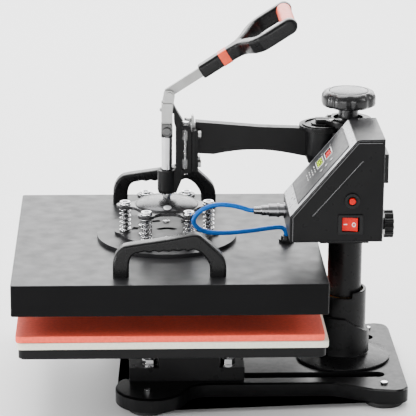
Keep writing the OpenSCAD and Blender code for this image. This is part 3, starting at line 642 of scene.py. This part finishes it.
def bezels(bm):
    for s in (66.5, 82.6):
        s0, s1, v0, v1 = s - 5.9, s + 5.9, 62.5 - 13.8, 62.5 + 13.8
        for a, b in (((s0, v0), (s1, v0)), ((s1, v0), (s1, v1)), ((s1, v1), (s0, v1)), ((s0, v1), (s0, v0))):
            stroke(bm, a, b, 1.1, 1.75, 0.85)


def prints(bm):
    for s in (65, 74.4, 84):
        stroke(bm, (s - 1.6, 31), (s + 1.6, 31), 1.5, 2.28, 0.06)
        stroke(bm, (s, 29.6), (s, 32.4), 1.5, 2.28, 0.06)
    for i in range(4):
        for j in range(3):
            s, v = 42 + i * 4.6, 48 + j * 9.5 + (i % 2) * 2
            stroke(bm, (s, v), (s, v + (4.5, 2.6, 5.5)[(i + j) % 3]), 1.3, 1.78, 0.06)
    stroke(bm, (87, 84), (89.5, 86), 0.9, 1.78, 0.06)
    stroke(bm, (72, 85.5), (73.6, 87), 0.9, 1.78, 0.06)


SEGMENTS = {"0": "abcdef", "1": "bc", "2": "abged", "3": "abgcd", "4": "fgbc", "5": "afgcd", "6": "afgedc",
            "8": "abcdefg"}


def digits(figures, s):
    def draw(bm):
        for k, figure in enumerate(figures):
            v = 62.5 + 8.2 - k * 8.2
            h, w = 3.6, 2.3
            ends = {"a": ((h, w), (h, -w)), "b": ((h, -w), (0, -w)), "c": ((0, -w), (-h, -w)),
                    "d": ((-h, w), (-h, -w)), "e": ((0, w), (-h, w)), "f": ((h, w), (0, w)), "g": ((0, w), (0, -w))}
            for seg in SEGMENTS[figure]:
                (s0, v0), (s1, v1) = ends[seg]
                a, b = Vector((s + s0, v + v0)), Vector((s + s1, v + v1))
                step = (b - a).normalized() * 0.75
                stroke(bm, a + step, b - step, 1.15, 2.64, 0.08)
    return draw


marks("panel_frame", "outline", panel_frame)
marks("display_bezels", "print", bezels, "led_displays")
marks("panel_marks", "print", prints)
marks("red_digits", "red_led", digits("180", 82.6), "led_displays")
marks("green_digits", "green_led", digits("060", 66.5), "led_displays")


dressed("connector_socket", "knurled", 0.0003)
dressed("cable_plug", "knurled", 0.0004)
dressed("mains_inlet", "plastic", 0.0005)
dressed("switch_bezel", "plastic", 0.0006)
dressed("switch_rocker", "red", 0.0006)


def rocker_marks(bm):
    """The on and off marks of the rocker: a bar on one half and a ring on the other."""
    tilt = math.radians(-10)

    def at(u, w, lift):
        x = u * math.cos(tilt) - (-lift) * math.sin(tilt)
        y = u * math.sin(tilt) + (-lift) * math.cos(tilt)
        return mm(224.5 + x, -137 + y, 251 + w)

    def lift(u):
        return 3.6 + 1.4 * abs(u) / 9.6 + 0.02

    dash, ring = -5.6, 4.8
    corners = [(dash - 2.2, -0.6), (dash + 2.2, -0.6), (dash + 2.2, 0.6), (dash - 2.2, 0.6)]
    loft([[at(a, b, lift(a) + k) for a, b in corners] for k in (-0.3, 0.06)], bm)
    count = 24
    rings = []
    for r, e in ((1.5, -0.3), (1.5, 0.06), (2.5, 0.06), (2.5, -0.3)):
        turns = [2 * math.pi * i / count for i in range(count)]
        rings.append([bm.verts.new(at(ring + r * math.cos(t), r * 1.15 * math.sin(t),
                                      lift(ring + r * math.cos(t)) + e)) for t in turns])
    for a, b in zip(rings, rings[1:] + rings[:1]):
        for i in range(count):
            j = (i + 1) % count
            bm.faces.new((a[i], a[j], b[j], b[i]))


bm = bmesh.new()
rocker_marks(bm)
bmesh.ops.recalc_face_normals(bm, faces=bm.faces)
piece(bm, "rocker_marks", "rocker", "print", ["switch_rocker"])
dressed("breaker_body", "plastic", 0.0006)
dressed("reset_button", "red", 0.0006)

# ---- platen -----------------------------------------------------------------

BOLTS = [(54 * math.cos(math.radians(a)), 54 * math.sin(math.radians(a))) for a in range(0, 360, 60)]


def make_spider():
    spider = dressed("spider_plate", "dome_paint", 0.0008, 2, smooth=50)
    bm = bmesh.new()
    lean = math.radians(19)
    along = Vector((0, -math.sin(lean), math.cos(lean)))
    side, other = Vector((1, 0, 0)), Vector((0, math.cos(lean), math.sin(lean)))
    seat = mm(0, -35, SPIDER_Z + 4 + 4.6)
    rings = []
    for r, h in ((5.0, -1.0), (5.0, 1.1), (4.7, 1.35), (4.0, 1.5), (2.6, 1.62)):
        rings.append([seat + along * h / 1000 + (side * math.cos(a) + other * math.sin(a)) * r / 1000
                      for a in (2 * math.pi * i / 32 for i in range(32))])
    loft(rings, bm)
    bmesh.ops.recalc_face_normals(bm, faces=bm.faces)
    piece(bm, "spider_plug", "ram", "plug_silver_and_slope_sheen", ["spider_plate"])
    return spider


make_spider()


def make_bolts():
    """Flanged heads with a hollow hexagon, shanks with a thread, and a nut on the lobed disc."""
    bm = bmesh.new()
    top = SPIDER_Z + 4.05
    for x, y in BOLTS:
        profile = [(circle, 4.0, 198.1), (circle, 4.0, 201.1), (circle, 5.0, 201.2), (circle, 5.0, 203.0),
                   (circle, 4.0, 203.2)]
        z = 203.6
        while z < SPIDER_Z - 1.2:
            profile += [(circle, 3.98, z), (circle, 3.55, z + 0.6)]
            z += 1.25
        profile += [(circle, 4.0, z), (circle, 4.0, top), (circle, 7.4, top), (circle, 7.6, top + 0.25),
                    (circle, 7.6, top + 0.9), (circle, 7.2, top + 1.2), (circle, 6.9, top + 1.4),
                    (circle, 6.9, top + 3.3), (circle, 6.6, top + 3.85), (circle, 5.9, top + 4.15),
                    (circle, 4.6, top + 4.1), (hexagon, 3.9, top + 3.8), (hexagon, 3.8, top + 2.2)]
        loft([[Vector(p) for p in make(mm(x, y, z), r / 1000, 24)] for make, r, z in profile], bm)
    bmesh.ops.recalc_face_normals(bm, faces=bm.faces)
    return piece(bm, "platen_bolts_shape", "platen", "chrome", ["platen_bolts"], 35)


def make_springs():
    bm = bmesh.new()
    low, high = LOBED_TOP + 1.15, SPIDER_Z - 1.15
    turns, per = 6.3, 20
    count = int(turns * per)
    for x, y in BOLTS:
        line = []
        for i in range(count + 1):
            t = i / count
            rise = min(1, max(0, (t - 0.09) / 0.82))
            a = 2 * math.pi * turns * t + 0.6
            line.append(mm(x + 6.85 * math.cos(a), y + 6.85 * math.sin(a), low + (high - low) * rise))
        tube(line, 0.00095, 8, bm)
    bmesh.ops.recalc_face_normals(bm, faces=bm.faces)
    springs = piece(bm, "platen_springs_shape", "platen", "chrome", ["platen_springs"], 80)
    bpy.context.view_layer.objects.active = springs
    springs.modifiers.clear()
    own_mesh(springs)
    return springs


make_bolts()
make_springs()
discs = dressed("mounting_discs", "cover_paint", 0.0007, 2)
SCREWS = [mm(37 * math.cos(math.radians(a)), 37 * math.sin(math.radians(a)), LOBED_TOP) for a in range(30, 360, 60)]
repaint(discs, "chrome", lambda f: f.center.z > 0.20105 and
        any((f.center.xy - c.xy).length < 0.0047 for c in SCREWS))
repaint(discs, "outline", lambda f: 0.1988 < f.center.z < 0.2009 and
        (f.center.xy - mm(0, 0, 0).xy).length < 0.048)
top_cover = dressed("platen_cover", "cover_paint", 0.0012, 3)
# The cover's steep side faces get the darker copy of its paint: painted shade, not a different finish
repaint(top_cover, "cover_side_painted_shade", lambda f: abs(f.normal.z) < 0.6)
dressed("heating_plate", "alloy", 0.001)


def make_handles():
    """Moulded handles: a slab with well rounded edges and finger scallops under the bar."""
    outer = [(-70, 0), (-70, 14), (-68.5, 24), (-64.5, 32.5), (-58.5, 38.5), (-50, 41.5), (-4, 48.3), (14, 51.8),
             (22, 53.4), (30, 54.6), (38, 52.6), (49, 43), (64, 28.5), (68.5, 20), (70, 12), (70, 0)]
    inner = [(50, 0), (49.6, 12), (47.4, 18.7), (42.5, 26.5), (35.4, 32.6)]
    inner += [(29 - 3 * i, 34 - 0.1 * i + 0.8 * math.cos(math.pi / 2 * i)) for i in range(22)]
    inner += [(-41, 30.5), (-46, 27.5), (-49.2, 21), (-50, 12), (-50, 0)]

    def smooth(points, steps):
        return [(p.x, p.y) for p in curve_through([Vector((a, b, 0)) for a, b in points], steps)]

    loop = smooth(outer, 3) + smooth(inner, 2)
    n = len(loop)
    area = sum(loop[i][0] * loop[(i + 1) % n][1] - loop[(i + 1) % n][0] * loop[i][1] for i in range(n))
    turn = 1 if area > 0 else -1
    inward = []
    for i in range(n):
        a, b = Vector(loop[i - 1]), Vector(loop[(i + 1) % n])
        t = (b - a).normalized()
        m = Vector((-t.y, t.x)) * turn
        if loop[i][1] < 0.01:
            m = Vector((1 if loop[i][0] in (-70, 50) else -1, 0))
        inward.append(m)
    r = 3.6
    stations = [math.radians(a) for a in (90, 67.5, 45, 22.5, 0)]
    bm = bmesh.new()
    for y0 in (-HANDLE_Y, HANDLE_Y):
        rings = []
        for a in stations:
            rings.append((-9 + r - r * math.sin(a), r * (1 - math.cos(a))))
        rings += [(-y, k) for y, k in reversed(rings)]
        points = []
        for y, k in rings:
            ring = []
            for (x, z), m in zip(loop, inward):
                ring.append(mm(x + m.x * k, y0 + y, COVER_TOP + max(0, z + m.y * k)))
            points.append(ring)
        loft(points, bm)
    bmesh.ops.recalc_face_normals(bm, faces=bm.faces)
    return piece(bm, "carrying_handles_shape", "platen", "grip", ["carrying_handles"], 60)


make_handles()
dressed("cable_gland", "plastic", 0.0004)

# ---- nodes that keep their shape ---------------------------------------------

for node, mat in {"socket_bushing": "brass", "tube_plug": "oxide", "clamp_screws": "steel", "guide_bushing": "oxide",
                  "grease_nipple": "steel", "pivot_pin": "steel", "box_bolts": "steel", "circuit_board": "board",
                  }.items():
    data = NODES[node].data
    data.materials.clear()
    data.materials.append(MATS[mat])

# ---- light and floor --------------------------------------------------------

def area(name, place, aim, size, power, color=(1, 1, 1)):
    data = bpy.data.lights.new(name, "AREA")
    data.shape = "RECTANGLE"
    data.size, data.size_y = size
    data.energy = power
    data.color = color
    ob = bpy.data.objects.new(name, data)
    ob.location = place
    ob.rotation_euler = (Vector(aim) - Vector(place)).to_track_quat("-Z", "Y").to_euler()
    bpy.context.scene.collection.objects.link(ob)


area("back_panel", (0.0, 2.8, 1.35), (0, 0.4, 0.1), (5.0, 1.6), 170)
area("top_box", (-0.2, 0.8, 2.3), (0, 0.1, 0.2), (2.2, 1.6), 105)
area("left_box", (-2.0, -0.9, 1.5), (0, 0, 0.25), (0.5, 1.2), 16)
area("right_box", (1.9, -0.7, 1.2), (0, 0, 0.25), (0.5, 1.2), 16)
area("low_front", (-0.7, -2.6, 0.42), (-0.05, 0, 0.12), (2.4, 0.5), 34)
area("gap_side", (-2.0, -0.9, 0.24), (0, -0.1, 0.13), (0.5, 0.24), 34)

world = bpy.data.worlds.new("world")
world.use_nodes = True
sky = world.node_tree
sky.nodes["Background"].inputs["Color"].default_value = (1, 1, 1, 1)
# The studio is brighter behind the object than in front of it, so that bright metal has contrast
direction = sky.nodes.new("ShaderNodeTexCoord")
split = sky.nodes.new("ShaderNodeSeparateXYZ")
fade = sky.nodes.new("ShaderNodeMapRange")
for name, value in (("From Min", -0.8), ("From Max", 0.8), ("To Min", 0.3), ("To Max", 1.1)):
    fade.inputs[name].default_value = value
sky.links.new(direction.outputs["Generated"], split.inputs["Vector"])
sky.links.new(split.outputs["Y"], fade.inputs["Value"])
sky.links.new(fade.outputs["Result"], sky.nodes["Background"].inputs["Strength"])
bpy.context.scene.world = world

bm = bmesh.new()
bmesh.ops.create_grid(bm, x_segments=1, y_segments=1, size=9)
me = bpy.data.meshes.new("floor")
bm.to_mesh(me)
bm.free()
floor = bpy.data.objects.new("floor", me)
floor.location.z = -0.0002
me.materials.append(material("floor", (0.96, 0.96, 0.96), 0.8, vary=(0.5, 0.005)))
bpy.context.scene.collection.objects.link(floor)
